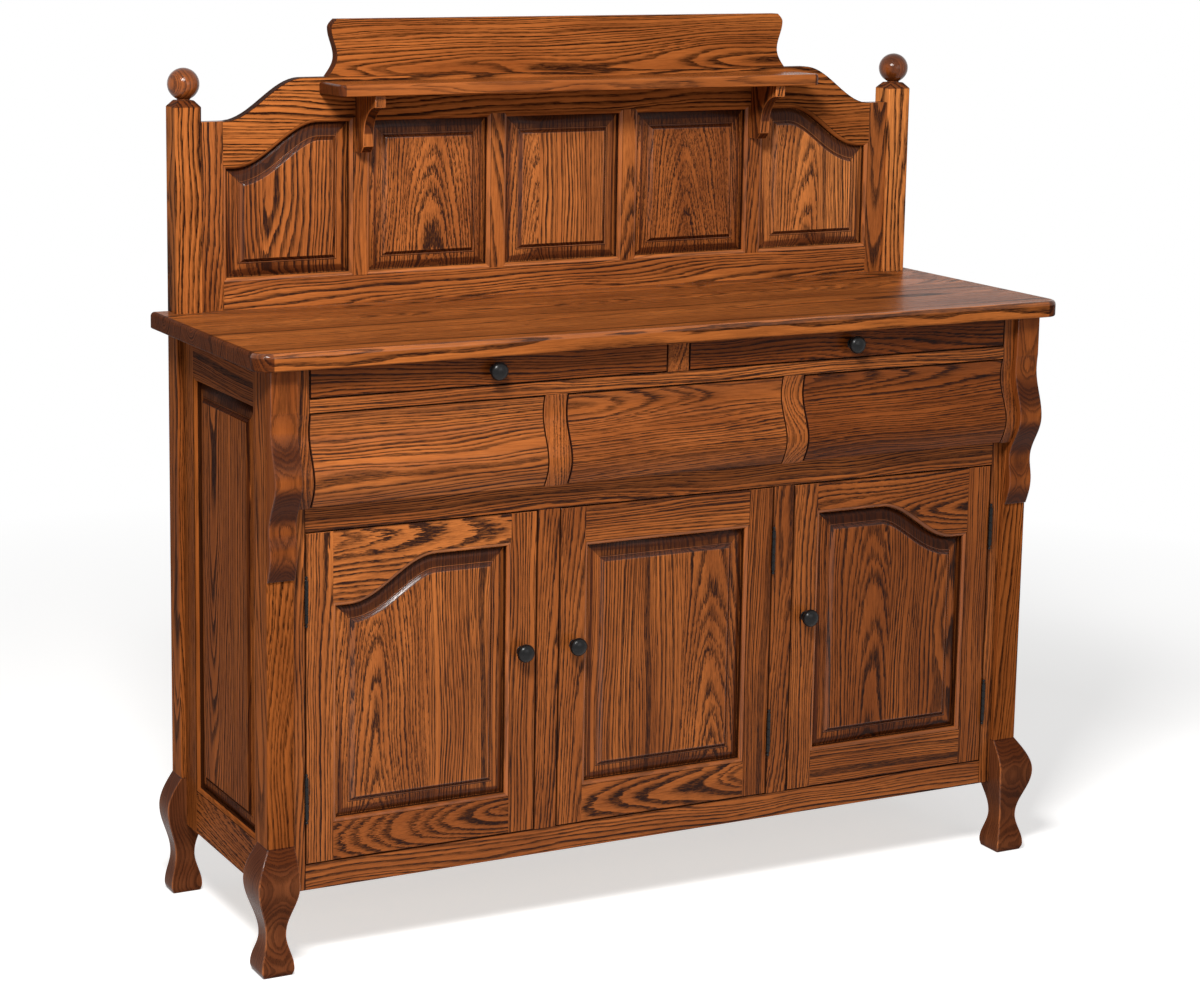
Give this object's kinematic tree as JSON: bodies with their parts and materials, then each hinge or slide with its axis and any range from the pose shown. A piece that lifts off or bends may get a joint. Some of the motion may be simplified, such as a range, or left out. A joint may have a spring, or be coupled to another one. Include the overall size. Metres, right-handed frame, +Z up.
{
  "type": "sideboard",
  "caption": "Oak sideboard on shaped legs with raised-panel doors, S-fronted drawers under flat drawers, and a panelled hutch back with a narrow bracketed shelf.",
  "frame": {"origin": "on the floor under the middle of the counter", "axes": "+X to the viewer's right as the front is faced, +Y to the back, +Z up"},
  "size_m": [1.442, 0.467, 1.4263],
  "materials": {
    "stained_oak": "reddish-brown stain, satin",
    "drawer_wood": "clear coat on pale wood",
    "black_metal": "satin black"
  },
  "bodies": {
    "carcass": {"counter_top": "stained_oak", "front_leg_post_left": "stained_oak", "front_leg_post_right": "stained_oak", "back_leg_post_left": "stained_oak", "back_leg_post_right": "stained_oak", "corbel_left": "stained_oak", "corbel_right": "stained_oak", "side_frame_left": "stained_oak", "side_frame_right": "stained_oak", "side_panel_left": "stained_oak", "side_panel_right": "stained_oak", "drawer_frame": "stained_oak", "face_frame": "stained_oak", "back_panel": "drawer_wood", "bottom_board": "drawer_wood", "cupboard_shelf": "drawer_wood", "sleigh_drawer_web": "drawer_wood", "top_drawer_web": "drawer_wood", "hinge_left_upper": "black_metal", "hinge_left_lower": "black_metal", "hinge_middle_upper": "black_metal", "hinge_middle_lower": "black_metal", "hinge_right_upper": "black_metal", "hinge_right_lower": "black_metal", "hutch_frame": "stained_oak", "hutch_panel_1": "stained_oak", "hutch_panel_2": "stained_oak", "hutch_panel_3": "stained_oak", "hutch_panel_4": "stained_oak", "hutch_panel_5": "stained_oak", "hutch_post_left": "stained_oak", "hutch_post_right": "stained_oak", "hutch_finial_left": "stained_oak", "hutch_finial_right": "stained_oak", "hutch_crest": "stained_oak", "hutch_shelf": "stained_oak", "hutch_bracket_left": "stained_oak", "hutch_bracket_right": "stained_oak"},
    "top_drawer_left": {"top_drawer_front_left": "stained_oak", "top_drawer_box_left": "drawer_wood", "top_drawer_knob_left": "black_metal"},
    "top_drawer_right": {"top_drawer_front_right": "stained_oak", "top_drawer_box_right": "drawer_wood", "top_drawer_knob_right": "black_metal"},
    "sleigh_drawer_left": {"sleigh_drawer_front_left": "stained_oak", "sleigh_drawer_box_left": "drawer_wood"},
    "sleigh_drawer_middle": {"sleigh_drawer_front_middle": "stained_oak", "sleigh_drawer_box_middle": "drawer_wood"},
    "sleigh_drawer_right": {"sleigh_drawer_front_right": "stained_oak", "sleigh_drawer_box_right": "drawer_wood"},
    "door_left": {"door_frame_left": "stained_oak", "door_panel_left": "stained_oak", "door_knob_left": "black_metal"},
    "door_middle": {"door_frame_middle": "stained_oak", "door_panel_middle": "stained_oak", "door_knob_middle": "black_metal"},
    "door_right": {"door_frame_right": "stained_oak", "door_panel_right": "stained_oak", "door_knob_right": "black_metal"}
  },
  "joints": [
    {"name": "top_drawer_left_slide", "type": "slide", "parent": "carcass", "child": "top_drawer_left", "axis": [0, -1, 0], "range_m": [0, 0.27]},
    {"name": "top_drawer_right_slide", "type": "slide", "parent": "carcass", "child": "top_drawer_right", "axis": [0, -1, 0], "range_m": [0, 0.27]},
    {"name": "sleigh_drawer_left_slide", "type": "slide", "parent": "carcass", "child": "sleigh_drawer_left", "axis": [0, -1, 0], "range_m": [0, 0.27]},
    {"name": "sleigh_drawer_middle_slide", "type": "slide", "parent": "carcass", "child": "sleigh_drawer_middle", "axis": [0, -1, 0], "range_m": [0, 0.27]},
    {"name": "sleigh_drawer_right_slide", "type": "slide", "parent": "carcass", "child": "sleigh_drawer_right", "axis": [0, -1, 0], "range_m": [0, 0.27]},
    {"name": "door_left_hinge", "type": "hinge", "parent": "carcass", "child": "door_left", "pos_m": [-0.6263, -0.188, 0.4235], "axis": [0, 0, -1], "range_deg": [0, 100]},
    {"name": "door_middle_hinge", "type": "hinge", "parent": "carcass", "child": "door_middle", "pos_m": [0.19543, -0.188, 0.4235], "axis": [0, 0, 1], "range_deg": [0, 100]},
    {"name": "door_right_hinge", "type": "hinge", "parent": "carcass", "child": "door_right", "pos_m": [0.6263, -0.188, 0.4235], "axis": [0, 0, 1], "range_deg": [0, 100]}
  ]
}
